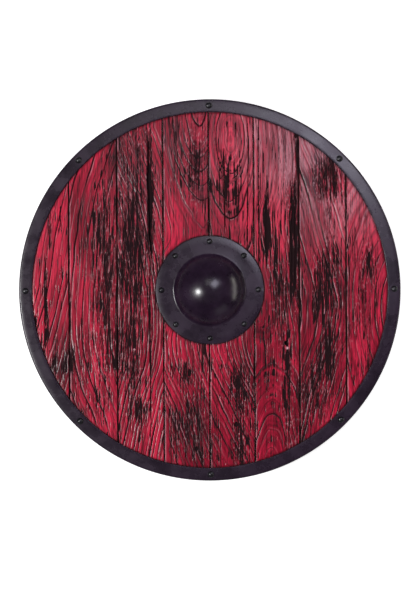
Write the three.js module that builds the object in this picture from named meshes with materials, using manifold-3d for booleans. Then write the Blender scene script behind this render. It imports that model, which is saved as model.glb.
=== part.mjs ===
// A round wooden shield: eight upright boards inside a riveted steel rim, with a domed
// steel boss over the hand hole. It lies on its back, face up.
//
// Units are millimetres. The origin is on the ground under the middle of the shield,
// +Z points up out of the boss, +Y runs along the boards to the top of the shield and
// +X is to the right for someone who looks at the painted face.

import * as THREE from 'three';
import { mergeVertices } from 'three/addons/utils/BufferGeometryUtils.js';
import Module from 'manifold-3d';

const wasm = await Module();
wasm.setup();

// ---------------------------------------------------------------- driving dimensions

const SHIELD_RADIUS = 305;          // a 24 inch shield
const CLEARANCE = 0.3;              // air between any two pieces that touch
const RIVETS_PER_RING = 8;

const BATTEN_THICKNESS = 14;
const BATTEN_WIDTH = 36;
const BATTEN_LENGTH = 480;
const BATTEN_OFFSET = 130;          // from the middle of the shield to each batten
const BATTEN_END_BEVEL = { run: 3.5, rise: 8 };
const BATTEN_EDGE_BEVEL = { run: 2, rise: 2 };

const BOARD_THICKNESS = 10;
const BOARD_JOINTS = [-225, -148, -74.2, -1, 71, 143, 218];
const JOINT_GAP = 0.6;
const JOINT_ARRIS = 1.0;            // width of the worn corner on each side of a joint
const JOINT_ARRIS_DEPTH = 1.6;
const HAND_HOLE_RADIUS = 52;

const STEEL = 2;                    // thickness of the rim and boss sheet
const STEEL_ARRIS = 0.6;            // small bevel on the sheet's cut edges
const RIM_WIDTH = 20.6;             // of the band that laps the face
const RIM_LIP_WIDTH = 18;           // of the lip that laps the back
const RIM_CORNER = 3;
const RIM_RIVET_CIRCLE = 294.5;

const BOSS_RADIUS = 86.3;
const BOSS_RIVET_CIRCLE = 77.4;
const DOME_RADIUS = 56;             // where the dome springs from its fillet
const DOME_BASE_SLOPE = 52;         // degrees, of the dome's side where it springs
const DOME_FILLET = 4;              // where the dome turns out into its flange

const RIM_RIVET_HEAD = 5.2;
const BOSS_RIVET_HEAD = 4.6;
const RIVET_HEAD_HEIGHT = 2.6;
const RIVET_SHANK = 2;
const RIVET_TAIL = 3.6;
const RIVET_TAIL_HEIGHT = 1.8;

const GRIP_LENGTH = 216;
const GRIP_END = { halfWidth: 17, thickness: 14, squareness: 8 };
const GRIP_MIDDLE = { halfWidth: 14.5, thickness: 21, squareness: 2.4 };
const GRIP_SWELL = { full: 16, none: HAND_HOLE_RADIUS - 8 };   // measured along the handle
const GRIP_RECESS = { radius: 4.6, depth: 3 };   // lets a rivet tail lie below the surface

const NAIL_SHANK = 1.2;
const NAIL_HEAD = 3;
const NAIL_HEAD_HEIGHT = 0.9;
const NAIL_BITE = 7;                // how far a nail runs into its board
const NAIL_POINT = 3;

const RING_SIDES = 64;
const DOME_SIDES = 40;
const RIVET_SIDES = 8;
const NAIL_SIDES = 6;
const OVERSHOOT = 5;                // how far a cutter runs past what it cuts

// Old damage that opens the face of a board: two splits along the grain and a knot hole.
const SPLITS = [
  { board: 3, x: -95, from: 52, to: 240, width: 7, depth: 5, lean: 3 },
  { board: 1, x: -238.5, from: 105, to: 135, width: 1.8, depth: 4, lean: 0 },
  { board: 6, x: 121.6, from: -89.2, to: -82, width: 5.6, depth: 6, lean: 0 },
];

// ---------------------------------------------------------------- levels, from the ground up

const BOARD_BACK = BATTEN_THICKNESS + CLEARANCE;
const BOARD_FRONT = BOARD_BACK + BOARD_THICKNESS;
const STEEL_UNDER = BOARD_FRONT + CLEARANCE;      // underside of the sheet on the face
const STEEL_TOP = STEEL_UNDER + STEEL;
const LIP_TOP = BOARD_BACK - CLEARANCE;
const LIP_UNDER = LIP_TOP - STEEL;
const BOARD_RADIUS = SHIELD_RADIUS - STEEL - 0.5;   // a loose fit inside the rim's wall

// ---------------------------------------------------------------- materials

const PAINTED_BOARD = new THREE.MeshStandardMaterial({ color: 0x9a2438, roughness: 0.6, metalness: 0 });
const BACK_TIMBER = new THREE.MeshStandardMaterial({ color: 0x5a4030, roughness: 0.75, metalness: 0 });
const BLACK_STEEL = new THREE.MeshStandardMaterial({ color: 0x343038, roughness: 0.45, metalness: 0.3 });
const BLACK_RIVET = new THREE.MeshStandardMaterial({ color: 0x1a171c, roughness: 0.3, metalness: 0.4 });

// ---------------------------------------------------------------- solids

/** One closed shell with shared vertices, no empty triangles, and its faces pointing out. */
function closedShell(geometry) {
  geometry.deleteAttribute('normal');
  geometry.deleteAttribute('uv');
  const shell = mergeVertices(geometry, 1e-3);
  const corners = shell.index.array;
  const point = shell.attributes.position;
  const kept = [];
  const [a, b, c] = [new THREE.Vector3(), new THREE.Vector3(), new THREE.Vector3()];
  let sixVolumes = 0;
  for (let i = 0; i < corners.length; i += 3) {
    const [p, q, r] = [corners[i], corners[i + 1], corners[i + 2]];
    if (p === q || q === r || r === p) continue;
    kept.push(p, q, r);
    a.fromBufferAttribute(point, p);
    b.fromBufferAttribute(point, q);
    c.fromBufferAttribute(point, r);
    sixVolumes += a.dot(b.cross(c));
  }
  shell.setIndex(sixVolumes > 0 ? kept : kept.reverse());
  return shell;
}

function toSolid(geometry) {
  const shell = closedShell(geometry);
  return new wasm.Manifold(new wasm.Mesh({
    numProp: 3,
    vertProperties: new Float32Array(shell.attributes.position.array),
    triVerts: new Uint32Array(shell.index.array),
  }));
}

function toGeometry(solid) {
  const { vertProperties, triVerts } = solid.getMesh();
  const geometry = new THREE.BufferGeometry();
  geometry.setAttribute('position', new THREE.BufferAttribute(vertProperties, 3));
  geometry.setIndex(new THREE.BufferAttribute(triVerts, 1));
  return geometry;
}

/** Turn a closed [radius, height] outline about the Z axis. */
function turned(outline, sides) {
  const points = outline.map(([radius, height]) => new THREE.Vector2(radius, height));
  if (outline[0][0] > 0) points.push(points[0].clone());
  return new THREE.LatheGeometry(points, sides).rotateX(Math.PI / 2);
}

/** Extrude an outline drawn in X and Z along Y, centred on the XZ plane. */
function extrudedAlongY(outline, length, steps = 1) {
  const shape = new THREE.Shape(outline.map(([x, z]) => new THREE.Vector2(x, z)));
  return new THREE.ExtrudeGeometry(shape, { depth: length, bevelEnabled: false, steps })
    .rotateX(Math.PI / 2)
    .translate(0, length / 2, 0);
}

/** A round bar along Z, used as a piece of a shape or to drill a hole. */
function post(radius, low, high, sides, x = 0, y = 0) {
  return new THREE.CylinderGeometry(radius, radius, high - low, sides)
    .rotateX(Math.PI / 2)
    .translate(x, y, (low + high) / 2);
}

/** Points on a quarter or other arc of an ellipse, ends included, angles in degrees. */
function arc(centre, radii, fromDegrees, toDegrees, steps) {
  const points = [];
  for (let i = 0; i <= steps; i += 1) {
    const angle = THREE.MathUtils.degToRad(fromDegrees + (toDegrees - fromDegrees) * i / steps);
    points.push([centre[0] + radii[0] * Math.cos(angle), centre[1] + radii[1] * Math.sin(angle)]);
  }
  return points;
}

/** Places on a ring of rivets, the first one at the top of the shield, then clockwise. */
function ringPlaces(radius) {
  return Array.from({ length: RIVETS_PER_RING }, (_, i) => {
    const angle = Math.PI / 2 - i * 2 * Math.PI / RIVETS_PER_RING;
    return [radius * Math.cos(angle), radius * Math.sin(angle)];
  });
}

const RIM_RIVETS = ringPlaces(RIM_RIVET_CIRCLE);
const BOSS_RIVETS = ringPlaces(BOSS_RIVET_CIRCLE);

/** Drill a solid right through at each of the given rivet places. */
function drilled(solid, places) {
  const radius = RIVET_SHANK + CLEARANCE;
  const top = STEEL_TOP + OVERSHOOT;
  return places.reduce(
    (left, [x, y]) => left.subtract(toSolid(post(radius, -OVERSHOOT, top, RIVET_SIDES, x, y))),
    solid,
  );
}

// ---------------------------------------------------------------- boards

/** A long pointed opening cut down into a board's face, straight or leaning a little. */
function splitCutter({ x, from, to, width, depth, lean }) {
  const steps = 6;
  const side = (sign) => Array.from({ length: steps + 1 }, (_, i) => {
    const along = i / steps;
    const half = sign * width / 2 * Math.sqrt(Math.sin(Math.PI * along));
    return new THREE.Vector2(x + half + lean * (0.5 - along), from + (to - from) * along);
  });
  const outline = [...side(1), ...side(-1).reverse().slice(1, -1)];
  const height = depth + OVERSHOOT;
  return new THREE.ExtrudeGeometry(new THREE.Shape(outline), { depth: height, bevelEnabled: false })
    .translate(0, 0, BOARD_FRONT - depth);
}

/** Nail places on one board, one where each batten crosses it. */
function nailPlaces(board) {
  const inset = BATTEN_LENGTH / 2;
  const left = Math.max(board.left, -inset);
  const right = Math.min(board.right, inset);
  return [BATTEN_OFFSET, -BATTEN_OFFSET].map((y) => [(left + right) / 2, y]);
}

const BOARD_EDGES = [-SHIELD_RADIUS, ...BOARD_JOINTS, SHIELD_RADIUS];
const BOARDS = BOARD_EDGES.slice(0, -1).map((edge, i) => ({
  number: i + 1,
  left: edge + JOINT_GAP / 2,
  right: BOARD_EDGES[i + 1] - JOINT_GAP / 2,
}));

function boardGeometry(board) {
  const shoulder = BOARD_FRONT - JOINT_ARRIS_DEPTH;
  const section = [
    [board.left, BOARD_BACK], [board.right, BOARD_BACK], [board.right, shoulder],
    [board.right - JOINT_ARRIS, BOARD_FRONT], [board.left + JOINT_ARRIS, BOARD_FRONT],
    [board.left, shoulder],
  ];
  const disc = toSolid(post(BOARD_RADIUS, 0, BOARD_FRONT + OVERSHOOT, RING_SIDES));
  const handHole = toSolid(post(HAND_HOLE_RADIUS, 0, BOARD_FRONT + OVERSHOOT, DOME_SIDES));
  let solid = toSolid(extrudedAlongY(section, 2 * SHIELD_RADIUS)).intersect(disc);
  if (board.left < HAND_HOLE_RADIUS && board.right > -HAND_HOLE_RADIUS) solid = solid.subtract(handHole);
  const reach = RIVET_SHANK + CLEARANCE;
  const crosses = ([x]) => x + reach > board.left && x - reach < board.right;
  solid = drilled(solid, [...RIM_RIVETS, ...BOSS_RIVETS].filter(crosses));
  const nailTop = BOARD_BACK + NAIL_BITE + CLEARANCE;
  for (const [x, y] of nailPlaces(board)) {
    solid = solid.subtract(toSolid(post(NAIL_SHANK + CLEARANCE, 0, nailTop, NAIL_SIDES, x, y)));
  }
  for (const split of SPLITS.filter(({ board: number }) => number === board.number)) {
    solid = solid.subtract(toSolid(splitCutter(split)));
  }
  return toGeometry(solid);
}

// ---------------------------------------------------------------- steel

/** A channel that wraps the edge: band on the face, wall round the outside, lip on the back. */
function rimGeometry() {
  const inner = SHIELD_RADIUS - RIM_WIDTH;
  const lipInner = SHIELD_RADIUS - RIM_LIP_WIDTH;
  const wall = SHIELD_RADIUS - STEEL;
  const cornerCentre = [SHIELD_RADIUS - RIM_CORNER, STEEL_TOP - RIM_CORNER];
  const outline = [
    [inner, STEEL_UNDER], [inner, STEEL_TOP - STEEL_ARRIS], [inner + STEEL_ARRIS, STEEL_TOP],
    ...arc(cornerCentre, [RIM_CORNER, RIM_CORNER], 90, 0, 2),
    [SHIELD_RADIUS, LIP_UNDER + RIM_CORNER / 2], [SHIELD_RADIUS - RIM_CORNER / 2, LIP_UNDER],
    [lipInner, LIP_UNDER], [lipInner, LIP_TOP],
    [wall, LIP_TOP], [wall, STEEL_UNDER],
  ];
  return toGeometry(drilled(toSolid(turned(outline, RING_SIDES)), RIM_RIVETS));
}

/** A low domed cap of even thickness on a flat flange, open underneath for the knuckles. */
function bossGeometry() {
  const slope = THREE.MathUtils.degToRad(DOME_BASE_SLOPE);
  const ball = DOME_RADIUS / Math.sin(slope);
  const springing = STEEL_TOP + DOME_FILLET * (1 - Math.cos(slope));
  const ballCentre = [0, springing - ball * Math.cos(slope)];
  const filletCentre = [DOME_RADIUS + DOME_FILLET * Math.sin(slope), STEEL_TOP + DOME_FILLET];
  const shell = (radius) => [radius, radius];
  const outline = [
    [BOSS_RADIUS, STEEL_UNDER], [BOSS_RADIUS, STEEL_TOP - STEEL_ARRIS],
    [BOSS_RADIUS - STEEL_ARRIS, STEEL_TOP],
    ...arc(filletCentre, shell(DOME_FILLET), 270, 270 - DOME_BASE_SLOPE, 2),
    ...arc(ballCentre, shell(ball), 90 - DOME_BASE_SLOPE, 90, 8).slice(1, -1),
    [0, ballCentre[1] + ball],
    [0, ballCentre[1] + ball - STEEL],
    ...arc(ballCentre, shell(ball - STEEL), 90, 90 - DOME_BASE_SLOPE, 6).slice(1, -1),
    ...arc(filletCentre, shell(DOME_FILLET + STEEL), 270 - DOME_BASE_SLOPE, 270, 2),
  ];
  return toGeometry(drilled(toSolid(turned(outline, DOME_SIDES)), BOSS_RIVETS));
}

/** A round-headed rivet: dome on the steel, straight shank, spread tail behind. */
function rivetGeometry(headRadius, tailTop) {
  const headUnder = STEEL_TOP + CLEARANCE;
  const tailUnder = tailTop - RIVET_TAIL_HEIGHT;
  return closedShell(turned([
    [0, headUnder + RIVET_HEAD_HEIGHT],
    ...arc([0, headUnder], [headRadius, RIVET_HEAD_HEIGHT], 90, 0, 3).slice(1),
    [RIVET_SHANK, headUnder], [RIVET_SHANK, tailTop],
    [RIVET_TAIL, tailTop], [RIVET_TAIL * 0.75, tailUnder],
    [0, tailUnder],
  ], RIVET_SIDES));
}

// ---------------------------------------------------------------- timber behind the boards

/** A flat batten across all the boards, bevelled where it would catch a sleeve. */
function battenGeometry(y) {
  const bevelledBelow = (half, { run, rise }) => [
    [-half, BATTEN_THICKNESS], [-half, rise], [-half + run, 0],
    [half - run, 0], [half, rise], [half, BATTEN_THICKNESS],
  ];
  const side = bevelledBelow(BATTEN_LENGTH / 2, BATTEN_END_BEVEL);
  const across = bevelledBelow(BATTEN_WIDTH / 2, BATTEN_EDGE_BEVEL);
  const bevelled = toSolid(extrudedAlongY(across, BATTEN_LENGTH + OVERSHOOT).rotateZ(Math.PI / 2));
  let solid = toSolid(extrudedAlongY(side, BATTEN_WIDTH)).intersect(bevelled).translate([0, y, 0]);
  const recess = NAIL_HEAD_HEIGHT + 2 * CLEARANCE;
  const top = BATTEN_THICKNESS + OVERSHOOT;
  for (const [x, nailY] of BOARDS.flatMap(nailPlaces).filter(([, placeY]) => placeY === y)) {
    solid = solid
      .subtract(toSolid(post(NAIL_SHANK + CLEARANCE, -OVERSHOOT, top, NAIL_SIDES, x, nailY)))
      .subtract(toSolid(post(NAIL_HEAD + CLEARANCE, -OVERSHOOT, recess, NAIL_SIDES, x, nailY)));
  }
  return toGeometry(solid);
}

/** A flat-headed nail driven from the back through a batten into a board. */
function nailGeometry() {
  const headUnder = CLEARANCE;
  const headTop = headUnder + NAIL_HEAD_HEIGHT;
  const tip = BOARD_BACK + NAIL_BITE;
  return closedShell(turned([
    [0, headUnder], [NAIL_HEAD, headUnder], [NAIL_HEAD, headTop],
    [NAIL_SHANK, headTop], [NAIL_SHANK, tip - NAIL_POINT], [0, tip],
  ], NAIL_SIDES));
}

/** A carved handle: flat ends against the boards, an oval middle that swells into the hand hole. */
function gripGeometry() {
  const sides = 12;
  const steps = 14;
  const unitRing = Array.from({ length: sides }, (_, i) => {
    const angle = i * 2 * Math.PI / sides;
    return [Math.cos(angle), Math.sin(angle)];
  });
  const bar = extrudedAlongY(unitRing, GRIP_LENGTH, steps);
  const point = bar.attributes.position;
  for (let i = 0; i < point.count; i += 1) {
    const [x, y, z] = [point.getX(i), point.getY(i), point.getZ(i)];
    const swell = 1 - THREE.MathUtils.smoothstep(Math.abs(y), GRIP_SWELL.full, GRIP_SWELL.none);
    const blend = (key) => THREE.MathUtils.lerp(GRIP_END[key], GRIP_MIDDLE[key], swell);
    const power = 2 / blend('squareness');
    const squared = (value) => (Math.abs(value) < 1e-6 ? 0 : Math.sign(value) * Math.abs(value) ** power);
    point.setXYZ(i, squared(x) * blend('halfWidth'), y, blend('thickness') * (1 + squared(z)) / 2);
  }
  const held = BOSS_RIVETS.filter(([x]) => Math.abs(x) < RIVET_SHANK);
  let solid = drilled(toSolid(bar), held);
  for (const [x, y] of held) {
    const recess = post(GRIP_RECESS.radius, -OVERSHOOT, GRIP_RECESS.depth, RIVET_SIDES, x, y);
    solid = solid.subtract(toSolid(recess));
  }
  return toGeometry(solid);
}

// ---------------------------------------------------------------- the shield

const shield = new THREE.Group();

function add(name, geometry, material, x = 0, y = 0) {
  const mesh = new THREE.Mesh(geometry, material);
  mesh.name = name;
  mesh.position.set(x, y, 0);
  shield.add(mesh);
}

for (const board of BOARDS) add(`board_${board.number}`, boardGeometry(board), PAINTED_BOARD);

add('rim', rimGeometry(), BLACK_STEEL);
RIM_RIVETS.forEach(([x, y], i) => {
  add(`rim_rivet_${i + 1}`, rivetGeometry(RIM_RIVET_HEAD, LIP_UNDER - CLEARANCE), BLACK_RIVET, x, y);
});

add('boss', bossGeometry(), BLACK_STEEL);
BOSS_RIVETS.forEach(([x, y], i) => {
  const throughGrip = Math.abs(x) < RIVET_SHANK;
  const tailTop = (throughGrip ? GRIP_RECESS.depth : BOARD_BACK) - CLEARANCE;
  add(`boss_rivet_${i + 1}`, rivetGeometry(BOSS_RIVET_HEAD, tailTop), BLACK_RIVET, x, y);
});

add('upper_batten', battenGeometry(BATTEN_OFFSET), BACK_TIMBER);
add('lower_batten', battenGeometry(-BATTEN_OFFSET), BACK_TIMBER);
add('grip', gripGeometry(), BACK_TIMBER);
BOARDS.forEach((board) => {
  nailPlaces(board).forEach(([x, y], i) => {
    add(`${i === 0 ? 'upper' : 'lower'}_nail_${board.number}`, nailGeometry(), BLACK_STEEL, x, y);
  });
});

export default shield;
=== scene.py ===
# %% [markdown]
# # A wooden round shield
#
# The shield lies on its back with the painted face up: eight brushed and stained boards, a black
# steel rim, and a domed boss over the hand hole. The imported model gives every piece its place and
# size. This lesson gives the pieces their surfaces: grain carved into the boards, smooth turned
# steel, and finishes made from shader nodes.
#
# Lengths on the shield are easiest to think of in millimetres, so they are written as a number
# times MM. Blender itself works in metres.

# %% Load the fixed frame
import math

import bmesh
import bpy
import numpy as np
from mathutils import Matrix, Vector


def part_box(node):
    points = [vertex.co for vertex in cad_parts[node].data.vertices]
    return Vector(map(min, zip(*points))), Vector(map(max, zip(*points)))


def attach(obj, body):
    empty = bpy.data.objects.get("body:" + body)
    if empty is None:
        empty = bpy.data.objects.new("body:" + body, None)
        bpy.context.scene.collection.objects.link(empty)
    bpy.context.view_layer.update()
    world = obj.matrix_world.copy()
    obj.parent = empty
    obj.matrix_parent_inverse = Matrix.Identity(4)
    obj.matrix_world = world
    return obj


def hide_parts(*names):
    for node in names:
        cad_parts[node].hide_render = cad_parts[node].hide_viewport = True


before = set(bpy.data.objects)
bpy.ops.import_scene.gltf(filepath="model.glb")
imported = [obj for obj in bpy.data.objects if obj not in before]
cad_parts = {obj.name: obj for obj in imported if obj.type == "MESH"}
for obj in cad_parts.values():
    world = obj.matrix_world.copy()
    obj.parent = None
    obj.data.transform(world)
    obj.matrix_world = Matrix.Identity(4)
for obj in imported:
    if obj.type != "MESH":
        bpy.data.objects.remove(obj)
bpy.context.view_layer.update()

MM = 0.001

# %% Measures that the later cells share
rim_low, rim_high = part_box("rim")
boss_low, boss_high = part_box("boss")
board_low, board_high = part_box("board_4")
SHIELD_RADIUS = rim_high.x
BOARD_BACK, BOARD_FRONT = board_low.z, board_high.z
STEEL_TOP = rim_high.z
STEEL = 2 * MM
RIM_BAND = 20.6 * MM
RIM_LIP = 18 * MM
HAND_HOLE = 52 * MM
BOARD_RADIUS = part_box("board_5")[1].y
RIM_EDGE = SHIELD_RADIUS - RIM_BAND
FLANGE_EDGE = boss_high.x
print("shield radius", round(SHIELD_RADIUS, 4), "boards", round(BOARD_BACK, 4), "to", round(BOARD_FRONT, 4))

# %% [markdown]
# ## Camera, floor and lights
#
# A loose shield is best seen from straight above. A long lens a good two metres up keeps the rim
# round and shows none of its side, and the floor glows so that it comes out white. A small, strong
# key light on the left gives each groove a dark left wall and a bright right wall, and makes the
# bright spot on the dome. Two faint boxes above the top edge put a soft sheen on the steel and
# wood there. A long strip low on the right and a box low at the bottom right edge the dome, and a
# weak ceiling fills the shadows. One big soft light would be simpler, but then the carved grain
# would look flat.

# %% Camera above the shield
LENS = 85
CAMERA_HEIGHT = 2.2648
AIM = (-3.0 * MM, -11.3 * MM)
ROLL = math.radians(-0.35)

camera_data = bpy.data.cameras.new("camera")
camera_data.lens = LENS
camera = bpy.data.objects.new("camera", camera_data)
camera.location = (*AIM, CAMERA_HEIGHT)
camera.rotation_euler = (0, 0, ROLL)
bpy.context.scene.collection.objects.link(camera)
bpy.context.scene.camera = camera
bpy.context.scene.view_settings.view_transform = "Standard"
print("camera", [round(v, 4) for v in camera.location])


# %% Lights, each aimed at the middle of the shield
def area_light(name, place, size, power, colour=(1, 1, 1)):
    """A rectangular lamp at a place in metres that faces the shield."""
    data = bpy.data.lights.new(name, "AREA")
    data.shape = "RECTANGLE"
    data.size, data.size_y = size
    data.energy = power
    data.color = colour
    lamp = bpy.data.objects.new(name, data)
    lamp.location = place
    lamp.visible_camera = False
    lamp.rotation_euler = (-Vector(place)).to_track_quat("-Z", "Y").to_euler()
    bpy.context.scene.collection.objects.link(lamp)
    return lamp


def around(azimuth, off_axis, distance):
    """A place seen from the middle of the shield, by its turn from +X and its lean from +Z."""
    turn, lean = math.radians(azimuth), math.radians(off_axis)
    reach = distance * math.sin(lean)
    return (reach * math.cos(turn), reach * math.sin(turn), distance * math.cos(lean))


area_light("key_left", around(189, 31, 4), (0.34, 0.34), 80)
area_light("softbox_top_right", around(51, 21, 1.4), (0.36, 0.44), 3.1, (0.86, 0.83, 1))
area_light("softbox_top", around(98, 20, 1.5), (0.42, 0.4), 0.6)
area_light("strip_right", around(4, 68, 2), (1.7, 0.2), 6.5, (1, 0.97, 0.88))
area_light("softbox_low_right", around(300, 62, 2), (1.0, 0.7), 0.8)
area_light("ceiling", (0, 0, 3), (4, 4), 3.8)

world = bpy.data.worlds.new("studio")
world.use_nodes = True
world_tree = world.node_tree
backdrop = world_tree.nodes["Background"]
dim = world_tree.nodes.new("ShaderNodeBackground")
dim.inputs["Color"].default_value = (0.9, 0.93, 1, 1)
dim.inputs["Strength"].default_value = 0.04
seen = world_tree.nodes.new("ShaderNodeMixShader")
path = world_tree.nodes.new("ShaderNodeLightPath")
backdrop.inputs["Color"].default_value = (1, 1, 1, 1)
world_tree.links.new(path.outputs["Is Camera Ray"], seen.inputs["Fac"])
world_tree.links.new(dim.outputs[0], seen.inputs[1])
world_tree.links.new(backdrop.outputs[0], seen.inputs[2])
world_tree.links.new(seen.outputs[0], world_tree.nodes["World Output"].inputs["Surface"])
bpy.context.scene.world = world


# %% Small helpers for shader nodes
def add_node(tree, kind, inputs=None, **settings):
    """Make a node, set its own settings, then fill its sockets with values or links."""
    made = tree.nodes.new(kind)
    for name, value in settings.items():
        setattr(made, name, value)
    for socket, value in (inputs or {}).items():
        if isinstance(value, bpy.types.NodeSocket):
            tree.links.new(value, made.inputs[socket])
        else:
            made.inputs[socket].default_value = value
    return made


def calculate(tree, operation, first, second=0.0):
    """One sum: the result of a Math node."""
    return add_node(tree, "ShaderNodeMath", {0: first, 1: second}, operation=operation).outputs[0]


def remap(tree, value, low, high, to_low=0.0, to_high=1.0):
    """Ease a value from one range into another, held at both ends."""
    sockets = {"Value": value, 1: low, 2: high, 3: to_low, 4: to_high}
    return add_node(tree, "ShaderNodeMapRange", sockets, interpolation_type="SMOOTHSTEP").outputs[0]


def mix_colour(tree, amount, first, second):
    """Lay the second colour over the first by an amount."""
    sockets = {0: amount, 6: first, 7: second}
    return add_node(tree, "ShaderNodeMix", sockets, data_type="RGBA").outputs[2]


def noise_value(tree, where, stretch, detail=3.0, roughness=0.55):
    """Noise between about 0 and 1, with features stretched along the axes."""
    mapped = add_node(tree, "ShaderNodeMapping", {"Vector": where, "Scale": stretch}).outputs[0]
    sockets = {"Vector": mapped, "Scale": 1.0, "Detail": detail, "Roughness": roughness}
    return add_node(tree, "ShaderNodeTexNoise", sockets).outputs["Fac"]


def attribute(tree, name):
    """A value painted on the mesh's points."""
    return add_node(tree, "ShaderNodeAttribute", attribute_name=name).outputs["Fac"]


def new_material(name):
    """A material with its Principled shader and its Object coordinates."""
    material = bpy.data.materials.new(name)
    material.use_nodes = True
    tree = material.node_tree
    where = add_node(tree, "ShaderNodeTexCoord").outputs["Object"]
    return material, tree, tree.nodes["Principled BSDF"], where


# %% Floor
floor_material, _, floor_shader, _ = new_material("pale_floor")
floor_shader.inputs["Base Color"].default_value = (0.82, 0.82, 0.82, 1)
floor_shader.inputs["Roughness"].default_value = 0.9
floor_shader.inputs["Specular IOR Level"].default_value = 0.1
floor_shader.inputs["Emission Color"].default_value = (1, 1, 1, 1)
floor_shader.inputs["Emission Strength"].default_value = 0.85

floor_shape = bmesh.new()
bmesh.ops.create_grid(floor_shape, x_segments=1, y_segments=1, size=6)
floor_mesh = bpy.data.meshes.new("floor")
floor_shape.to_mesh(floor_mesh)
floor_shape.free()
floor_mesh.materials.append(floor_material)
floor = bpy.data.objects.new("floor", floor_mesh)
bpy.context.scene.collection.objects.link(floor)
print("floor", round(floor.dimensions.x, 1), "m across")

# %% [markdown]
# ## Effects shared by several finishes
#
# Two effects turn up again and again. Fibre is what makes anything wooden look wooden: fine
# streaks many times longer than they are wide. Scuffs are what makes paint on steel look used:
# faint cloudy handling marks, small pale flecks, and paint rubbed thin on edges. Each is built
# once as a node group, with named inputs, and every material places it with its own values. They
# could be image textures, but nodes stay sharp at any distance and need no unwrapping.

# %% Fibre and scuff groups


def new_group(name, inputs, outputs):
    """An empty shader group whose sockets carry the given names and kinds."""
    tree = bpy.data.node_groups.new(name, "ShaderNodeTree")
    for label, (kind, default) in inputs.items():
        socket = tree.interface.new_socket(name=label, in_out="INPUT", socket_type=kind)
        if default is not None:
            socket.default_value = default
    for label, kind in outputs.items():
        tree.interface.new_socket(name=label, in_out="OUTPUT", socket_type=kind)
    return tree, tree.nodes.new("NodeGroupInput").outputs, tree.nodes.new("NodeGroupOutput").inputs


FLOAT, VECTOR = "NodeSocketFloat", "NodeSocketVector"

fibre_group, given, result = new_group(
    "wood_fibre",
    {"Coordinates": (VECTOR, None), "Across": (VECTOR, (1000, 60, 300))},
    {"Streaks": FLOAT, "Pores": FLOAT},
)
stretched = add_node(
    fibre_group, "ShaderNodeVectorMath", {0: given["Coordinates"], 1: given["Across"]}, operation="MULTIPLY"
).outputs[0]
long_streaks = noise_value(fibre_group, stretched, (0.45, 0.45, 0.45), 4, 0.6)
fine_pores = noise_value(fibre_group, stretched, (1.4, 1.9, 1.4), 2, 0.5)
fibre_group.links.new(remap(fibre_group, long_streaks, 0.3, 0.7), result["Streaks"])
fibre_group.links.new(remap(fibre_group, fine_pores, 0.35, 0.65), result["Pores"])

scuff_group, given, result = new_group(
    "scuffs",
    {"Coordinates": (VECTOR, None), "Fleck Amount": (FLOAT, 0.5), "Edge Amount": (FLOAT, 0.5)},
    {"Clouds": FLOAT, "Flecks": FLOAT, "Worn Edge": FLOAT},
)
clouds = noise_value(scuff_group, given["Coordinates"], (28, 28, 28), 5, 0.6)
scratches = noise_value(scuff_group, given["Coordinates"], (420, 950, 420), 2, 0.5)
patchy = noise_value(scuff_group, given["Coordinates"], (60, 60, 60), 2, 0.5)
flecks = calculate(
    scuff_group, "MULTIPLY", remap(scuff_group, scratches, 0.66, 0.78), remap(scuff_group, patchy, 0.5, 0.65)
)
pointed = add_node(scuff_group, "ShaderNodeNewGeometry").outputs["Pointiness"]
edges = calculate(
    scuff_group, "MULTIPLY", remap(scuff_group, pointed, 0.52, 0.6), remap(scuff_group, clouds, 0.35, 0.6)
)
scuff_group.links.new(clouds, result["Clouds"])
scuff_group.links.new(calculate(scuff_group, "MULTIPLY", flecks, given["Fleck Amount"]), result["Flecks"])
scuff_group.links.new(calculate(scuff_group, "MULTIPLY", edges, given["Edge Amount"]), result["Worn Edge"])
print("groups:", [g.name for g in bpy.data.node_groups])

# %% [markdown]
# ## The stained boards' finish
#
# On the real shield a crimson stain lies over brushed softwood and black glaze sits in every groove.
# On top of that, light is painted into the colour: pale highlights beside many grooves, on the joint
# edges and on specks in the patches, a pale painted sheen towards the upper right, and a dark band of
# painted shade beside the rim and boss. Which point is groove, ridge or glaze depends on the grain,
# and the grain is carved into the mesh further down. So the mesh carries four painted values, stain
# with painted shade, glaze with painted shade, rubs with painted highlights and sheen, and tone, and
# the material only turns them into colour. A material that guessed the grooves by itself would never
# line up with the carving.

# %% Stained board material
CRIMSON_DEEP = (0.075, 0.002, 0.009, 1)
CRIMSON = (0.36, 0.006, 0.030, 1)
CRIMSON_BRIGHT = (0.84, 0.022, 0.078, 1)
# Pale pink for bare chips and for the painted highlights and painted sheen on the boards.
RUB_AND_HIGHLIGHT_PINK = (0.72, 0.34, 0.40, 1)
# Black for the glaze, and for the painted shade beside the rim and boss.
GLAZE_AND_SHADE_BLACK = (0.013, 0.001, 0.003, 1)

board_material, tree, shader, where = new_material("stained_board")
fibre = add_node(tree, "ShaderNodeGroup", node_tree=fibre_group)
tree.links.new(where, fibre.inputs["Coordinates"])
fibre.inputs["Across"].default_value = (1150, 48, 300)
streaks, pores = fibre.outputs["Streaks"], fibre.outputs["Pores"]

shade = calculate(tree, "ADD", attribute(tree, "tone"), calculate(tree, "MULTIPLY", streaks, 0.30))
wood = mix_colour(tree, remap(tree, shade, 0.25, 0.62), CRIMSON_DEEP, CRIMSON)
wood = mix_colour(tree, remap(tree, shade, 0.55, 1.05), wood, CRIMSON_BRIGHT)
# The stain value blackens grooves, strokes, splits, knots and joints with glaze, and lays painted shade in a
# band beside the rim and boss.
wood = mix_colour(tree, calculate(tree, "MULTIPLY", attribute(tree, "stain_and_shade"), 0.92), wood, GLAZE_AND_SHADE_BLACK)
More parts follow.
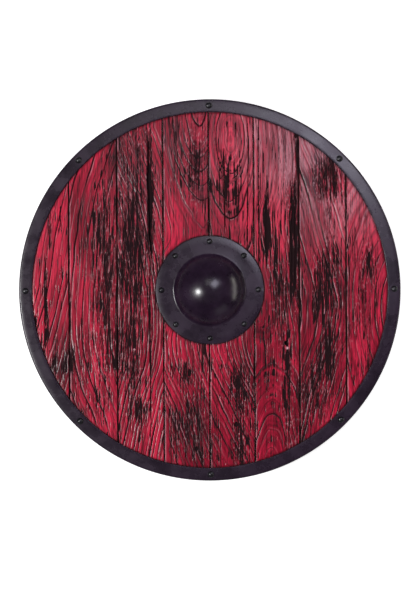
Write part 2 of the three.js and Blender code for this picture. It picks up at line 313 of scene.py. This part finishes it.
# Painted highlights, painted sheen and bare chips turn the wood pale pink.
rub_and_highlight_share = calculate(tree, "MULTIPLY", attribute(tree, "rub_and_highlight"), remap(tree, pores, 0.0, 0.8, 0.5, 1.0))
wood = mix_colour(tree, rub_and_highlight_share, wood, RUB_AND_HIGHLIGHT_PINK)
coarse_share, fine_share = calculate(tree, "MULTIPLY", streaks, 0.6), calculate(tree, "MULTIPLY", pores, 0.4)
torn = calculate(tree, "ADD", coarse_share, fine_share)
# Black glaze in the torn patches, and the painted shade beside the steel.
glaze_and_shade_share = remap(tree, calculate(tree, "SUBTRACT", attribute(tree, "glaze_and_shade"), torn), -0.17, 0.2)
tree.links.new(mix_colour(tree, glaze_and_shade_share, wood, GLAZE_AND_SHADE_BLACK), shader.inputs["Base Color"])
tree.links.new(remap(tree, glaze_and_shade_share, 0.0, 1.0, 0.28, 0.85), shader.inputs["Roughness"])
shader.inputs["Specular IOR Level"].default_value = 0.28
bump = add_node(tree, "ShaderNodeBump", {"Height": torn, "Strength": 0.25, "Distance": 0.12 * MM})
tree.links.new(bump.outputs["Normal"], shader.inputs["Normal"])
print("made", board_material.name)


# %% Plain timber for the back
def timber_material(name, stretch, light, dark):
    """Oiled timber whose streaks run along the axis with the smallest stretch."""
    material, tree, shader, where = new_material(name)
    fibre = add_node(tree, "ShaderNodeGroup", node_tree=fibre_group)
    tree.links.new(where, fibre.inputs["Coordinates"])
    fibre.inputs["Across"].default_value = stretch
    bands = noise_value(tree, where, tuple(axis * 0.12 for axis in stretch), 3, 0.5)
    shade = calculate(tree, "MULTIPLY", fibre.outputs["Streaks"], remap(tree, bands, 0.3, 0.7, 0.4, 1.0))
    tree.links.new(mix_colour(tree, shade, dark, light), shader.inputs["Base Color"])
    tree.links.new(remap(tree, fibre.outputs["Pores"], 0.0, 1.0, 0.6, 0.75), shader.inputs["Roughness"])
    bump = add_node(tree, "ShaderNodeBump", {"Height": shade, "Strength": 0.5, "Distance": 0.25 * MM})
    tree.links.new(bump.outputs["Normal"], shader.inputs["Normal"])
    return material


OILED_LIGHT, OILED_DARK = (0.23, 0.115, 0.055, 1), (0.055, 0.026, 0.013, 1)
upright_timber = timber_material("timber_upright", (500, 24, 300), OILED_LIGHT, OILED_DARK)
crosswise_timber = timber_material("timber_crosswise", (24, 500, 300), OILED_LIGHT, OILED_DARK)

# %% [markdown]
# ## Black steel
#
# Rim, boss and rivets are steel under black paint. Paint is not a metal to light: it reflects a
# little white and scatters a little of its own colour, so Metallic stays at zero. The rim and
# flange are satin with a faint purple cast, the dome has been polished by hands and is a little
# glossier, and the rivet heads are the darkest.


# %% Black paint finishes
def black_paint(name, colour, roughness, fleck_amount, edge_amount):
    """Painted steel with clouds in its gloss, pale flecks and thinner paint on edges."""
    material, tree, shader, where = new_material(name)
    scuffs = add_node(tree, "ShaderNodeGroup", node_tree=scuff_group)
    tree.links.new(where, scuffs.inputs["Coordinates"])
    scuffs.inputs["Fleck Amount"].default_value = fleck_amount
    scuffs.inputs["Edge Amount"].default_value = edge_amount
    lifted = tuple(c * 1.9 + 0.004 for c in colour[:3]) + (1,)
    paint = mix_colour(tree, remap(tree, scuffs.outputs["Clouds"], 0.3, 0.7), colour, lifted)
    worn = calculate(tree, "MAXIMUM", scuffs.outputs["Flecks"], scuffs.outputs["Worn Edge"])
    tree.links.new(mix_colour(tree, worn, paint, (0.16, 0.15, 0.17, 1)), shader.inputs["Base Color"])
    gloss = remap(tree, scuffs.outputs["Clouds"], 0.3, 0.7, roughness - 0.04, roughness + 0.06)
    tree.links.new(gloss, shader.inputs["Roughness"])
    bump = add_node(
        tree, "ShaderNodeBump", {"Height": scuffs.outputs["Clouds"], "Strength": 0.2, "Distance": 0.4 * MM}
    )
    tree.links.new(bump.outputs["Normal"], shader.inputs["Normal"])
    return material


satin_black = black_paint("satin_black_steel", (0.015, 0.0065, 0.017, 1), 0.26, 0.6, 0.5)
dome_black = black_paint("polished_black_steel", (0.015, 0.0065, 0.017, 1), 0.23, 0.15, 0.2)
rivet_black = black_paint("rivet_black", (0.005, 0.004, 0.006, 1), 0.28, 0.1, 0.25)
nail_iron = black_paint("nail_iron", (0.045, 0.040, 0.038, 1), 0.55, 0.3, 0.6)
print("materials:", [m.name for m in bpy.data.materials])

# %% [markdown]
# ## Repeatable noise
#
# Grain needs randomness that is the same on every run. This noise gives each whole-number place a
# hashed value and eases between the four round a point. It works on whole arrays, so a board
# with tens of thousands of points takes a moment. Blender's own noise would look as good, but it
# takes one point at a time.


# %% Noise on arrays
def hashed(i, j, seed):
    """A repeatable number from 0 to 1 for each pair of whole numbers."""
    mixed = (i * 374761393 + j * 668265263 + seed * 974634777) & 0xFFFFFFFF
    mixed = ((mixed ^ (mixed >> 13)) * 1274126177) & 0xFFFFFFFF
    return ((mixed ^ (mixed >> 16)) & 0xFFFF) / 0xFFFF


def noise(u, v, seed):
    """Smooth noise from 0 to 1 over arrays of coordinates."""
    i, j = np.floor(u).astype(np.int64), np.floor(v).astype(np.int64)
    a, b = u - i, v - j
    a, b = a * a * (3 - 2 * a), b * b * (3 - 2 * b)
    near = hashed(i, j, seed) * (1 - a) + hashed(i + 1, j, seed) * a
    far = hashed(i, j + 1, seed) * (1 - a) + hashed(i + 1, j + 1, seed) * a
    return near * (1 - b) + far * b


def ease(value, low, high):
    """0 below low, 1 above high, and a smooth step between."""
    t = np.clip((value - low) / (high - low), 0, 1)
    return t * t * (3 - 2 * t)


print("noise sample", round(float(noise(np.array([0.5]), np.array([0.5]), 1)[0]), 3))

# %% [markdown]
# ## How the grain of a board is drawn
#
# A board is a flat slice through a trunk, and its grain is where the slice cuts the growth rings.
# If the heart of the trunk runs at a distance d behind the face, a point that lies x to the side
# of it is on the ring of radius sqrt(x * x + d * d). As d changes along the board the rings close
# into arches, and where the heart comes up to the face they close into an eye. So each board
# needs only a few stations: a height, where the heart is, and how deep it lies. Drawing every
# line by hand would take hundreds of points and look less like wood.

# %% The heart of each trunk
# Heights and places in millimetres from the middle of the shield: (height, heart x, heart depth).
HEARTS = {
    1: (9.0, [(250, -252, 12), (100, -279, 12), (0, -296, 12), (-100, -322, 14), (-250, -360, 16)]),
    2: (9.5, [(240, -234, 15), (163, -259, 15), (53, -278, 15), (-40, -285, 15), (-90, -282, 15),
              (-140, -271, 15), (-216, -243, 15), (-280, -222, 15)]),
    3: (6.5, [(260, -72, 15), (188, -46, 15), (149, -29, 15), (123, -20, 15), (68, -8, 15),
              (-40, 6, 15), (-80, 4, 15), (-120, -2, 15), (-150, -12, 15), (-210, -28, 15),
              (-290, -46, 15)]),
    4: (6.5, [(300, -16, 4), (264, -16, 14), (238, -16, 20), (207, -16, 30), (147, -16, 46),
              (80, -16, 56), (-70, -132, 15), (-190, -98, 15), (-300, -60, 15)]),
    5: (6.5, [(305, 34, 24), (280, 34, 16), (257, 34, 7), (241, 34, 1), (225, 34, 7),
              (200, 34, 16), (150, 34, 32), (80, 34, 46), (-70, -62, 15), (-190, -18, 15),
              (-300, 34, 15)]),
    6: (7.0, [(300, 36, 25), (215, 42, 20), (160, 37, 20), (122, 29, 22), (60, 40, 30),
              (0, 62, 42), (-60, 85, 52), (-100, 96, 58), (-181, 99, 36), (-207, 99, 29),
              (-252, 97, 16), (-300, 93, 3)]),
    7: (7.0, [(260, 38, 25), (180, 65, 25), (80, 95, 25), (20, 112, 25), (-20, 120, 25),
              (-60, 116, 25), (-120, 98, 25), (-180, 80, 25), (-260, 62, 25)]),
    8: (9.0, [(220, 296, 96), (100, 296, 50), (20, 296, 18), (-24, 296, 4), (-68, 296, 18),
              (-140, 296, 46), (-220, 296, 76)]),
}


def along_path(stations, height):
    """Heart place and depth at each height, on a smooth curve through the stations."""
    knots, *columns = np.array(sorted(stations), float).T
    k = np.clip(np.searchsorted(knots, height) - 1, 0, len(knots) - 2)
    span = knots[k + 1] - knots[k]
    t = np.clip((height - knots[k]) / span, 0, 1)
    curves = []
    for column in columns:
        slope = np.gradient(column, knots)
        curves.append(
            (2 * t**3 - 3 * t**2 + 1) * column[k] + (t**3 - 2 * t**2 + t) * span * slope[k]
            + (3 * t**2 - 2 * t**3) * column[k + 1] + (t**3 - t**2) * span * slope[k + 1]
        )
    return curves


def ring_number(number, x, y):
    """Which growth ring each point of a board lies on, counted from the heart."""
    spacing, stations = HEARTS[number]
    heart, depth = along_path(stations, y)
    radius = np.hypot(x - heart, depth)
    radius = radius + 3.6 * noise(x / 34, y / 80, 10 + number) + 1.7 * noise(x / 10, y / 24, 20 + number)
    count = radius / spacing
    return count + 0.55 * noise(count * 0.8, y / 400, 30 + number)


print("boards with a heart path:", sorted(HEARTS))

# %% [markdown]
# ## Old damage
#
# Three things interrupt the grain. Rubbed patches are where the fibres are torn and full of black
# glaze. Splits are long narrow openings along the grain. Knots are small pits. They are listed by
# place and size, because each is an accident of this one shield, and the list is the clearest way
# to say so.

# %% Rubbed patches, splits and knots
# (x, y, half width, half length, strength), in millimetres from the middle of the shield.
PATCHES = [
    (-166, 16, 17, 150, 0.62), (-123, 64, 20, 105, 0.80), (-123, -96, 17, 75, 0.58),
    (-112, -190, 7, 26, 0.68), (-120, -117, 9, 24, 0.85), (-149, -90, 4, 34, 0.90),
    (-95, 150, 6, 105, 0.90), (-24, 200, 14, 62, 0.52), (24, 155, 5, 74, 0.46),
    (45, 160, 4, 60, 0.42), (92, 95, 4, 56, 0.95), (134.5, 75, 7, 96, 0.95),
    (112, -8, 17, 78, 0.50), (123, -150, 7, 92, 0.64), (192, 175, 25, 38, 0.66),
    (184, 8, 16, 60, 0.78), (188, -95, 10, 62, 0.72), (170, -160, 24, 52, 0.48),
    (257, 38, 10, 26, 0.55), (231, -50, 6, 40, 0.45), (-38, -132, 9, 20, 0.70),
    (-28, -215, 13, 46, 0.55), (-55, -235, 6, 42, 0.50), (42, -155, 10, 44, 0.68),
    (46, -245, 9, 40, 0.60), (-247, -118, 3, 15, 0.95), (-232, -122, 3.5, 17, 0.95),
    (-220, -112, 3.5, 19, 0.90), (-256, 110, 4, 26, 0.50), (-176, -180, 9, 42, 0.42),
    (141, 200, 4, 58, 0.65), (-262, -20, 2, 64, 0.85), (-10, -110, 12, 30, 0.35),
]
# (x, lower y, upper y, width, depth, lean from bottom to top)
SPLITS = [
    (-95, 52, 240, 6.5, 5, -3), (-95.5, -235, 60, 2.6, 2.2, 0), (-238.5, 105, 135, 2.0, 4, 0),
    (61.5, 40, 285, 2.2, 1.8, 0), (78.5, 10, 275, 2.4, 2.0, 0), (92, 44, 148, 5.0, 2.4, 0),
    (-262, -80, 44, 2.2, 1.8, 2), (24, 90, 228, 2.6, 1.8, 0), (131, 0, 162, 4.0, 2.4, 0),
    (137.5, -20, 150, 4.0, 2.4, 0),
]
# (x, y, half width, half length, depth)
KNOTS = [
    (121.6, -85.6, 2.8, 3.6, 6.0), (-32.8, -132, 3.0, 6.0, 1.6), (40.7, -215, 3.2, 4.5, 2.2),
    (-22.7, -254, 2.6, 4.0, 1.8), (139, 246, 3.0, 4.5, 1.8),
]
# Bare chips: (x, y, radius, brightness)
CHIPS = [(122.8, -93.6, 2.7, 1.6), (-121, -94.5, 2.0, 1.0), (-108, 112, 1.6, 0.8)]


def patch_strength(x, y):
    """How thickly the black glaze lies at each point, and how near a patch the point is."""
    wander = 5 * (noise(x / 30, y / 24, 45) - 0.5) + 3 * (noise(x / 3, y / 11, 46) - 0.5)
    thick, near = np.zeros_like(x), np.zeros_like(x)
    for px, py, half_width, half_length, strength in PATCHES:
        across, along = (x - px + wander) / half_width, (y - py) / half_length
        thick = np.maximum(thick, 1.15 * strength * np.exp(-0.75 * (across**2 + np.abs(along) ** 3)))
        near = np.maximum(near, strength * np.exp(-0.25 * across**2 - 0.6 * along**2))
    return np.minimum(thick, 0.74) * (0.6 + 0.72 * noise(x / 1.9 + 9, y / 40, 44)), near


def split_depth(x, y):
    """Depth of the splits at each point, in millimetres, with ragged edges."""
    depth = np.zeros_like(x)
    for sx, low, high, width, deepest, lean in SPLITS:
        t = np.clip((y - low) / (high - low), 0, 1)
        ragged = 0.15 + 0.8 * noise(y / 21, x * 0 + sx, 41) + 0.6 * noise(y / 4.3, x / 1.3, 43)
        half = width / 2 * np.sqrt(np.sin(math.pi * t)) * ragged
        middle = sx + lean * (t - 0.5) + 3.2 * (noise(y / 30, x * 0 + sx, 42) - 0.5)
        inside = 1 - (np.abs(x - middle) / np.maximum(half, 0.01)) ** 2
        depth = np.maximum(depth, deepest * np.sqrt(np.clip(inside, 0, 1)))
    return depth


def knot_depth(x, y):
    """Depth of the knots, in millimetres."""
    depth = np.zeros_like(x)
    for kx, ky, half_width, half_length, deepest in KNOTS:
        away = np.hypot((x - kx) / half_width, (y - ky) / half_length)
        depth = np.maximum(depth, deepest * ease(away, 1.1, 0.7))
    return depth


print(len(PATCHES), "patches,", len(SPLITS), "splits,", len(KNOTS), "knots")

# %% [markdown]
# ## Carving one point of a board
#
# The relief adds up what a wire brush and years of use do: a narrow groove along every ring, fine
# fibre everywhere, short dark strokes that gather near the patches, torn fibre in them, splits
# and knots, and worn corners at the joints. The same numbers say where black glaze collects and
# where painted highlights lie on ridges, joint edges and specks, so shape and colour always agree.
# Towards the upper right the boards were brushed less, so that sector is smoother, and a painted
# sheen makes it paler. Beside the rim and boss a dark band of painted shade is laid on the boards.
# The finer values are tuned amounts in millimetres or shares of one.


# %% Relief and painted values
SMOOTH_SHEEN_TURN = 50        # the middle of the smooth sector with the painted sheen, in degrees from +X
STEEL_SHADE_WIDTH = 4            # width of the painted shade band beside the steel, in millimetres


def carve(number, x, y, left, right):
    """Depth below the face in millimetres, and stain with painted shade, glaze with painted shade, rubs with
    painted highlights and sheen, and tone, for a board's points.
    """
    step = 0.2
    rings = ring_number(number, x, y)
    across = (ring_number(number, x + step, y) - rings) / step
    along = (ring_number(number, x, y + step) - rings) / step
    steep = np.maximum(np.hypot(across, along), 1e-3)
    nearest = np.round(rings)
    offset = (rings - nearest) / steep * np.where(across < 0, -1, 1)
    index = nearest.astype(np.int64)
    strength = 0.35 + 0.75 * hashed(index, index * 0 + number, 51)
    strength = strength * (0.5 + 0.95 * noise(nearest * 3.7, y / 38, 52 + number))
    width = 0.6 + 0.75 * hashed(index, index * 0 + number, 53)
    azimuth, reach = np.degrees(np.arctan2(y, x)), np.hypot(x, y)
    smooth_sheen_sector = ease(reach, 150, 235) * ease(np.abs(azimuth - SMOOTH_SHEEN_TURN), 38, 16)
    width = width * (1 + 0.9 * smooth_sheen_sector)
    groove = strength * np.exp(-((offset / width) ** 2))
    hollow = 1 - np.cos(2 * math.pi * (rings - nearest))

    fibre = noise(rings * 6.5, y / 16, 60 + number)
    coarse = noise(rings * 2.7, y / 42, 61 + number)
    torn = 0.6 * noise(x / 1.1 + y / 40, y / 9, 62) + 0.4 * noise(x / 2.3, y / 30, 63)
    low = 0.12 + 0.42 * noise(x / 11, y / 80, 64) * noise(x / 40, y / 120, 69)
    patch, near = patch_strength(x, y)
    patch = np.maximum(patch, low)
    heavy = ease(patch, 0.35, 0.75)
    stroke_share = 0.54 * near + 0.48 * noise(x / 30, y / 90, 71) * (1 - smooth_sheen_sector)
    stroke_share = stroke_share + 0.16 * ease(np.abs(x - 70), 75, 25) * ease(y, 20, 80)
    leaning = x + 3 * noise(x / 40, y / 60, 75)
    strokes = noise(rings * 5 + 5, y / 26, 72 + number) * 0.3 + noise(leaning / 1.3, y / 24, 73) * 0.7
    strokes = ease(strokes, 0.84 - 0.55 * stroke_share, 0.97 - 0.52 * stroke_share)

    splits, knots = split_depth(x, y), knot_depth(x, y)
    edge = np.minimum(x - left, right - x) + 0.9 * (noise(y / 9, x * 0 + number, 65) - 0.5)
    arris = np.clip(1 - edge / 1.5, 0, 1) ** 2
    # Painted shade: a dark band on the boards just inside the rim and just outside the boss flange. The same
    # band also dips the relief.
    under_rim = ease(reach, RIM_EDGE / MM - STEEL_SHADE_WIDTH, RIM_EDGE / MM + 0.6)
    under_boss = ease(reach, FLANGE_EDGE / MM + STEEL_SHADE_WIDTH, FLANGE_EDGE / MM + 0.6)

    rough = 1 - 0.75 * smooth_sheen_sector
    depth = (
        0.1 + 0.75 * groove + rough * (0.07 * hollow + 0.05 * fibre + 0.12 * coarse)
        + 0.35 * strokes + heavy * (0.1 + 0.5 * torn) + 1.7 * arris + 0.5 * under_rim + 0.3 * under_boss
    )
    depth = np.maximum(depth, 0.3 + np.maximum(splits, knots))
    # The stain value: black glaze in grooves, strokes, splits, knots and joints, and painted shade beside
    # the rim and boss.
    stain_and_shade = np.maximum.reduce([
        1.15 * groove * (1 - 0.35 * smooth_sheen_sector), 0.95 * strokes, ease(splits + knots, 0.2, 0.9),
        ease(edge, 1.3, 0.6), 0.95 * under_rim, 0.9 * under_boss,
    ])
    # Painted highlights: a pale line along the right wall of many grooves, where the key light from the left
    # falls.
    crest_highlight_share = ease(noise(nearest * 5.1, y / 22, 68 + number), 0.5, 0.8)
    crest_highlight = crest_highlight_share * strength * np.exp(-(((offset - 1.7 * width) / 0.55) ** 2))
    # Painted glints: pale specks on the torn fibre in and near the patches.
    speck_glints = ease(noise(x / 1.5, y / 3.2, 66), 0.72, 0.86) * ease(patch + 0.5 * near, 0.25, 0.6)
    # Painted highlight along the left edge of each board, beside its joint.
    lit_edge = ease(noise(y / 26, x * 0 + number, 74), 0.4, 0.65) * np.exp(-(((x - left - 2.0) / 0.8) ** 2))
    # Painted sheen: the smooth sector towards the upper right is turned paler pink.
    sheen_wash = smooth_sheen_sector * (0.08 + 0.42 * ease(coarse, 0.3, 0.7)) * (1 - ease(near, 0.3, 0.6))
    # One pale value gathers these painted highlights and the painted sheen; bare chips join it below.
    rub_and_highlight = np.clip(0.75 * crest_highlight + 0.42 * speck_glints + 0.6 * lit_edge + sheen_wash, 0, 1)
    for cx, cy, radius, brightness in CHIPS:
        chip = brightness * ease(np.hypot(x - cx, y - cy), radius, radius * 0.6)
        rub_and_highlight, stain_and_shade = np.maximum(rub_and_highlight, chip), stain_and_shade * (1 - np.clip(chip, 0, 1))
        patch = patch * (1 - np.clip(chip, 0, 1))
    # The glaze value: black glaze in the patches, and wherever the stain value is near black, which takes in
    # the painted shade beside the steel.
    glaze_and_shade = np.maximum(patch, 1.3 * ease(stain_and_shade, 0.75, 1.0))
    tone = 0.50 * noise(x / 30, y / 110, 67) + 0.28 * coarse + 0.30 * fibre - 0.26 * near
    return depth, np.clip(stain_and_shade, 0, 1), glaze_and_shade, rub_and_highlight, tone


# %% [markdown]
# ## Building the boards
#
# Each board starts as a fine flat grid, pushed into the board's outline: straight joints at the
# sides and the shield's circle at the ends. Its border is extruded down and filled for the sides
# and back, and the two middle boards lose the part inside the hand hole. Only then are the top
# points lowered by the carving. A displacement in the material could do the same in a render, but
# it would vanish from the exported mesh.

# %% Board builder
GRID_ACROSS = 0.62 * MM
GRID_ALONG = 1.25 * MM
HALF_GAP = 0.29 * MM


def board_blank(left, right):
    """A closed board-shaped slab with a fine grid on its face."""
    shape = bmesh.new()
    longest = 2 * math.sqrt(BOARD_RADIUS**2 - max(0, left, -right) ** 2)
    columns, rows = round((right - left) / GRID_ACROSS), round(longest / GRID_ALONG)
    bmesh.ops.create_grid(shape, x_segments=columns, y_segments=rows, size=0.5)
    for point in shape.verts:
        x = left + (right - left) * (point.co.x + 0.5)
        point.co = (x, point.co.y * 2 * math.sqrt(BOARD_RADIUS**2 - x * x), BOARD_FRONT)
    if left < HAND_HOLE and right > -HAND_HOLE:
        inside = [f for f in shape.faces if f.calc_center_median().xy.length < HAND_HOLE]
        bmesh.ops.delete(shape, geom=inside, context="FACES")
        for point in shape.verts:
            if point.is_boundary and point.co.xy.length < HAND_HOLE + 2 * MM:
                point.co.xy = point.co.xy.normalized() * HAND_HOLE
    border = [e for e in shape.edges if e.is_boundary]
    skirt = bmesh.ops.extrude_edge_only(shape, edges=border)["geom"]
    for point in (g for g in skirt if isinstance(g, bmesh.types.BMVert)):
        if point.co.x < left + 0.01 * MM:
            point.co.x = left - HALF_GAP
        elif point.co.x > right - 0.01 * MM:
            point.co.x = right + HALF_GAP
        point.co.z = BOARD_BACK
    bmesh.ops.contextual_create(shape, geom=[g for g in skirt if isinstance(g, bmesh.types.BMEdge)])
    bmesh.ops.recalc_face_normals(shape, faces=shape.faces)
    for face in shape.faces:
        on_face = face.normal.z > 0.5
        face.smooth = on_face
        face.material_index = 0 if on_face or face.calc_center_median().z > BOARD_FRONT else 1
    return shape


def build_board(number):
    """One finished board in place of its plain node."""
    node = f"board_{number}"
    low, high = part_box(node)
    left = max(low.x, -BOARD_RADIUS + 0.1 * MM)
    right = min(high.x, BOARD_RADIUS - 0.1 * MM)
    mesh = bpy.data.meshes.new(f"{node}_carved")
    shape = board_blank(left, right)
    shape.to_mesh(mesh)
    shape.free()
    places = np.empty(len(mesh.vertices) * 3)
    mesh.vertices.foreach_get("co", places)
    places = places.reshape(-1, 3)
    face = places[:, 2] > BOARD_FRONT - 0.01 * MM
    x, y = places[face, 0] / MM, places[face, 1] / MM
    depth, *painted = carve(number, x, y, left / MM, right / MM)
    places[face, 2] = BOARD_FRONT - np.clip(depth, 0, 8) * MM
    mesh.vertices.foreach_set("co", places.ravel())
    for name, values in zip(("stain_and_shade", "glaze_and_shade", "rub_and_highlight", "tone"), painted):
        whole = np.ones(len(places))
        whole[face] = values
        mesh.attributes.new(name, "FLOAT", "POINT").data.foreach_set("value", whole)
    mesh.materials.append(board_material)
    mesh.materials.append(upright_timber)
    mesh.update()
    piece = bpy.data.objects.new(f"{node}_carved", mesh)
    bpy.context.scene.collection.objects.link(piece)
    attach(piece, "root")
    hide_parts(node)
    return piece


for number in HEARTS:
    made = build_board(number)
    print(made.name, sum(len(p.vertices) - 2 for p in made.data.polygons), "triangles")

# %% [markdown]
# ## Turned steel
#
# The rim, boss and rivets are all round, so each is one outline spun about an axis. The outline
# holds every small radius that catches light: a worn outer corner, a bevel on the cut edge, the
# curve where the dome meets its flange. Bevelling a plain ring afterwards would do for the rim,
# but not for a dome.


# %% Spin an outline into a piece
def arc(centre, radii, start, stop, steps):
    """Points along part of an ellipse, angles in degrees, both ends included."""
    angles = np.radians(np.linspace(start, stop, steps + 1))
    return [(centre[0] + radii[0] * math.cos(a), centre[1] + radii[1] * math.sin(a)) for a in angles]


def spun(outline, steps, centre=(0, 0)):
    """Turn a closed outline of (radius, height) points about an upright axis."""
    shape = bmesh.new()
    points = [shape.verts.new((radius, 0, height)) for radius, height in outline]
    rings = list(zip(points, points[1:] + points[:1]))
    edges = [shape.edges.new(pair) for pair in rings if not all(p.co.x < 1e-9 for p in pair)]
    bmesh.ops.spin(
        shape, geom=points + edges, axis=(0, 0, 1), cent=(0, 0, 0), angle=math.tau, steps=steps,
        use_merge=True,
    )
    bmesh.ops.remove_doubles(shape, verts=shape.verts, dist=1e-6)
    bmesh.ops.recalc_face_normals(shape, faces=shape.faces)
    bmesh.ops.translate(shape, verts=shape.verts, vec=(*centre, 0))
    return shape


def finish_piece(shape, name, material, node, smooth_angle=40):
    """Turn a bmesh into a piece that stands for a node, smooth but for its real corners."""
    limit = math.radians(smooth_angle)
    for face in shape.faces:
        face.smooth = True
    for edge in shape.edges:
        edge.smooth = len(edge.link_faces) == 2 and edge.calc_face_angle() < limit
    mesh = bpy.data.meshes.new(name)
    shape.to_mesh(mesh)
    shape.free()
    mesh.materials.append(material)
    piece = bpy.data.objects.new(name, mesh)
    bpy.context.scene.collection.objects.link(piece)
    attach(piece, "root")
    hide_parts(node)
    return piece


# %% The rim
corner = 3 * MM
bevel = 0.6 * MM
inner, lip_inner, wall = SHIELD_RADIUS - RIM_BAND, SHIELD_RADIUS - RIM_LIP, SHIELD_RADIUS - STEEL
under, lip_under = STEEL_TOP - STEEL, rim_low.z
rim_outline = [
    (inner, under), *arc((inner + bevel, STEEL_TOP - bevel), (bevel, bevel), 180, 90, 3),
    *[(inner + t * (RIM_BAND - corner), STEEL_TOP) for t in (0.25, 0.5, 0.75)],
    *arc((SHIELD_RADIUS - corner, STEEL_TOP - corner), (corner, corner), 90, 0, 6),
    *arc((SHIELD_RADIUS - corner / 2, lip_under + corner / 2), (corner / 2, corner / 2), 0, -90, 4),
    (lip_inner, lip_under), (lip_inner, lip_under + STEEL), (wall, lip_under + STEEL), (wall, under),
]
rim_shape = spun(rim_outline, 360)
rim = finish_piece(rim_shape, "rim_band", satin_black, "rim")
print(rim.name, len(rim.data.polygons), "faces")

# %% The boss
DOME, FILLET, BASE_SLOPE = 56 * MM, 4 * MM, 52
boss_radius = boss_high.x
flange_top = boss_low.z + STEEL
slope = math.radians(BASE_SLOPE)
dome_ball = DOME / math.sin(slope)
springing = flange_top + FILLET * (1 - math.cos(slope))
ball_middle = (0, springing - dome_ball * math.cos(slope))
fillet_middle = (DOME + FILLET * math.sin(slope), flange_top + FILLET)
boss_outline = [
    (boss_radius, boss_low.z),
    *arc((boss_radius - bevel, flange_top - bevel), (bevel, bevel), 0, 90, 3),
    ((boss_radius + DOME + FILLET) / 2, flange_top),
    *arc(fillet_middle, (FILLET, FILLET), 270, 270 - BASE_SLOPE, 5),
    *arc(ball_middle, (dome_ball, dome_ball), 90 - BASE_SLOPE, 90, 30)[1:],
    *arc(ball_middle, (dome_ball - STEEL, dome_ball - STEEL), 90, 90 - BASE_SLOPE, 18),
    *arc(fillet_middle, (FILLET + STEEL, FILLET + STEEL), 270 - BASE_SLOPE, 270, 5)[1:],
]
boss_shape = spun(boss_outline, 144)
boss = finish_piece(boss_shape, "boss_turned", satin_black, "boss")
boss.data.materials.append(dome_black)
for face in boss.data.polygons:
    if math.hypot(*face.center[:2]) < DOME + FILLET * 0.6:
        face.material_index = 1
print(boss.name, len(boss.data.polygons), "faces")


# %% The rivets
def build_rivet(node):
    """A domed rivet head with its shank and tail, turned finely where the node is faceted."""
    low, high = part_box(node)
    middle = (low + high) / 2
    head = (high.x - low.x) / 2
    head_under = STEEL_TOP - 0.05 * MM
    shank, tail, tail_height = 2 * MM, 3.6 * MM, 1.8 * MM
    outline = [
        *arc((0, head_under), (head, high.z - head_under), 90, 0, 8),
        (shank, head_under), (shank, low.z + tail_height),
        (tail, low.z + tail_height), *arc((tail * 0.6, low.z + tail_height * 0.6),
                                          (tail * 0.4, tail_height * 0.6), 0, -90, 4),
        (0, low.z),
    ]
    shape = spun(outline, 28, (middle.x, middle.y))
    return finish_piece(shape, f"{node}_turned", rivet_black, node)


rivets = [build_rivet(node) for node in sorted(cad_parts) if "rivet" in node]
print(len(rivets), "rivets of", len(rivets[0].data.polygons), "faces")

# %% [markdown]
# ## The back
#
# Behind the boards are two battens, a handle and the nails. They are never seen from the front,
# so they are plain, honest timber and iron. The battens and nails have the right shape already
# and only get a finish. The handle is what a hand holds, so it is made smooth: a cylinder with
# many rings, squared at its ends and swelling to an oval in the middle.

# %% Battens and nails keep their shape
for name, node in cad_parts.items():
    finish = crosswise_timber if "batten" in name else nail_iron if "nail" in name else None
    if finish:
        node.data.materials.clear()
        node.data.materials.append(finish)
print("finished", [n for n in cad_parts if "batten" in n], "and the nails")

# %% The handle
GRIP_END = (17 * MM, 14 * MM, 8.0)          # half width, thickness, squareness
GRIP_MIDDLE = (14.5 * MM, 21 * MM, 2.4)
GRIP_SWELL = (16 * MM, 44 * MM)             # full swell inside the first, none past the second
half_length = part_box("grip")[1].y
grip_shape = bmesh.new()
bmesh.ops.create_cone(
    grip_shape, cap_ends=True, segments=40, radius1=1, radius2=1, depth=2 * half_length,
    matrix=Matrix.Rotation(math.pi / 2, 4, "X"),
)
lengthwise = [e for e in grip_shape.edges if abs(e.verts[0].co.y - e.verts[1].co.y) > half_length]
bmesh.ops.subdivide_edges(grip_shape, edges=lengthwise, cuts=53)


def squared(value, power):
    """Push a point of a circle towards a square."""
    return math.copysign(abs(value) ** power, value) if abs(value) > 1e-6 else 0.0


for point in grip_shape.verts:
    swell = 1 - float(ease(abs(point.co.y), *GRIP_SWELL))
    half_width, thickness, square = (e + (m - e) * swell for e, m in zip(GRIP_END, GRIP_MIDDLE))
    point.co.x = squared(point.co.x, 2 / square) * half_width
    point.co.z = thickness * (1 + squared(point.co.z, 2 / square)) / 2
grip = finish_piece(grip_shape, "grip_smoothed", upright_timber, "grip", 50)
print(grip.name, len(grip.data.polygons), "faces")
